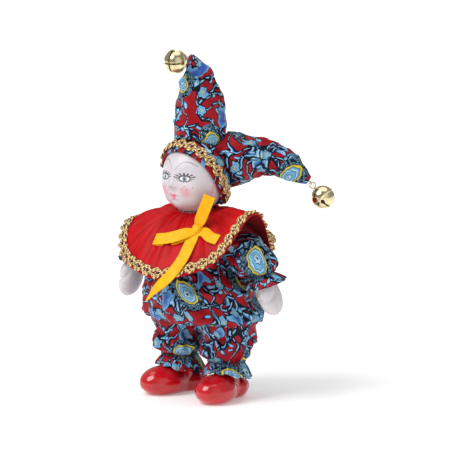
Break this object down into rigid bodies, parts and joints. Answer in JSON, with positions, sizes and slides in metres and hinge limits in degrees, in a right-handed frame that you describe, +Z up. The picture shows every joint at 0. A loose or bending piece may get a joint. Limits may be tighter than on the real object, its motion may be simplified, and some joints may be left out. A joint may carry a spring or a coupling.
{
  "type": "porcelain harlequin doll",
  "caption": "Standing stuffed doll in a printed clown suit with a gathered collar, a horned cap with bells, and porcelain head, hands and shoes.",
  "frame": {"origin": "on the floor under the middle of the doll's outline", "axes": "+Z up, the doll faces -Y, its left side is towards +X"},
  "size_m": [0.1048, 0.0904, 0.1811],
  "materials": {
    "printed_satin": "satin weave with a printed pattern",
    "red_satin": "satin weave",
    "gold_braid": "metallic gimp braid",
    "yellow_ribbon": "satin ribbon",
    "bisque_porcelain": "unglazed bisque, painted face",
    "red_glaze": "gloss",
    "bell_brass": "polished",
    "pellet_steel": "plain",
    "pink_elastic": "covered elastic",
    "cuff_elastic": "covered elastic",
    "white_thread": "sewing thread"
  },
  "bodies": {
    "torso": {"torso_cloth": "printed_satin", "neck_tie": "white_thread", "collar": "red_satin", "collar_braid": "gold_braid", "collar_gather_thread": "white_thread", "bow_knot": "yellow_ribbon", "bow_upper_loop": "yellow_ribbon", "bow_side_loop": "yellow_ribbon", "bow_short_tail": "yellow_ribbon", "bow_long_tail": "yellow_ribbon"},
    "head": {"head_shell": "bisque_porcelain", "hat_cap": "printed_satin", "hat_right_horn": "printed_satin", "hat_left_horn": "printed_satin", "hat_braid": "gold_braid", "chin_elastic": "pink_elastic", "right_bell_thread": "white_thread", "left_bell_thread": "white_thread"},
    "right_bell": {"right_bell_shell": "bell_brass", "right_bell_loop": "bell_brass"},
    "right_pellet": {"right_bell_pellet": "pellet_steel"},
    "right_arm": {"right_sleeve": "printed_satin", "right_cuff_elastic": "cuff_elastic"},
    "right_hand": {"right_hand": "bisque_porcelain", "right_wrist_tie": "white_thread"},
    "right_leg": {"right_trouser_leg": "printed_satin", "right_ankle_elastic": "cuff_elastic"},
    "right_shoe": {"right_shoe": "red_glaze", "right_ankle_tie": "white_thread"},
    "left_bell": {"left_bell_shell": "bell_brass", "left_bell_loop": "bell_brass"},
    "left_pellet": {"left_bell_pellet": "pellet_steel"},
    "left_arm": {"left_sleeve": "printed_satin", "left_cuff_elastic": "cuff_elastic"},
    "left_hand": {"left_hand": "bisque_porcelain", "left_wrist_tie": "white_thread"},
    "left_leg": {"left_trouser_leg": "printed_satin", "left_ankle_elastic": "cuff_elastic"},
    "left_shoe": {"left_shoe": "red_glaze", "left_ankle_tie": "white_thread"}
  },
  "joints": [
    {"name": "head_turn", "type": "hinge", "parent": "torso", "child": "head", "pos_m": [-0.0012, -0.0038, 0.095], "axis": [0, 0, 1], "range_deg": [-30, 30]},
    {"name": "right_bell_rock", "type": "hinge", "parent": "head", "child": "right_bell", "pos_m": [-0.00553, -0.00715, 0.1758], "axis": [0.9899, 0.1417, 0], "range_deg": [-12, 12]},
    {"name": "right_pellet_slide", "type": "slide", "parent": "right_bell", "child": "right_pellet", "axis": [0, 0, 1], "range_m": [0, 0.00736]},
    {"name": "right_arm_swing", "type": "hinge", "parent": "torso", "child": "right_arm", "pos_m": [-0.0222, -0.0013, 0.0785], "axis": [-1, 0, 0], "range_deg": [-40, 30]},
    {"name": "right_wrist_twist", "type": "hinge", "parent": "right_arm", "child": "right_hand", "pos_m": [-0.0422, -0.00312, 0.06816], "axis": [-0.2756, -0.1669, -0.9467], "range_deg": [-25, 25]},
    {"name": "right_leg_swing", "type": "hinge", "parent": "torso", "child": "right_leg", "pos_m": [-0.0172, 0.0009, 0.042], "axis": [-1, 0, 0], "range_deg": [-20, 35]},
    {"name": "right_ankle_twist", "type": "hinge", "parent": "right_leg", "child": "right_shoe", "pos_m": [-0.0172, 0.0009, 0.02], "axis": [0, 0, -1], "range_deg": [-5, 15]},
    {"name": "left_bell_rock", "type": "hinge", "parent": "head", "child": "left_bell", "pos_m": [0.04075, 0.03621, 0.1107], "axis": [-0.4849, 0.8746, 0], "range_deg": [-12, 12]},
    {"name": "left_pellet_slide", "type": "slide", "parent": "left_bell", "child": "left_pellet", "axis": [0, 0, 1], "range_m": [0, 0.00736]},
    {"name": "left_arm_swing", "type": "hinge", "parent": "torso", "child": "left_arm", "pos_m": [0.0198, -0.0013, 0.0785], "axis": [-1, 0, 0], "range_deg": [-20, 50]},
    {"name": "left_wrist_twist", "type": "hinge", "parent": "left_arm", "child": "left_hand", "pos_m": [0.0398, 0.00052, 0.06816], "axis": [0.2756, 0.1669, -0.9467], "range_deg": [-25, 25]},
    {"name": "left_leg_swing", "type": "hinge", "parent": "torso", "child": "left_leg", "pos_m": [0.0148, 0.0009, 0.042], "axis": [-1, 0, 0], "range_deg": [-20, 35]},
    {"name": "left_ankle_twist", "type": "hinge", "parent": "left_leg", "child": "left_shoe", "pos_m": [0.0148, 0.0009, 0.02], "axis": [0, 0, 1], "range_deg": [-5, 15]}
  ]
}
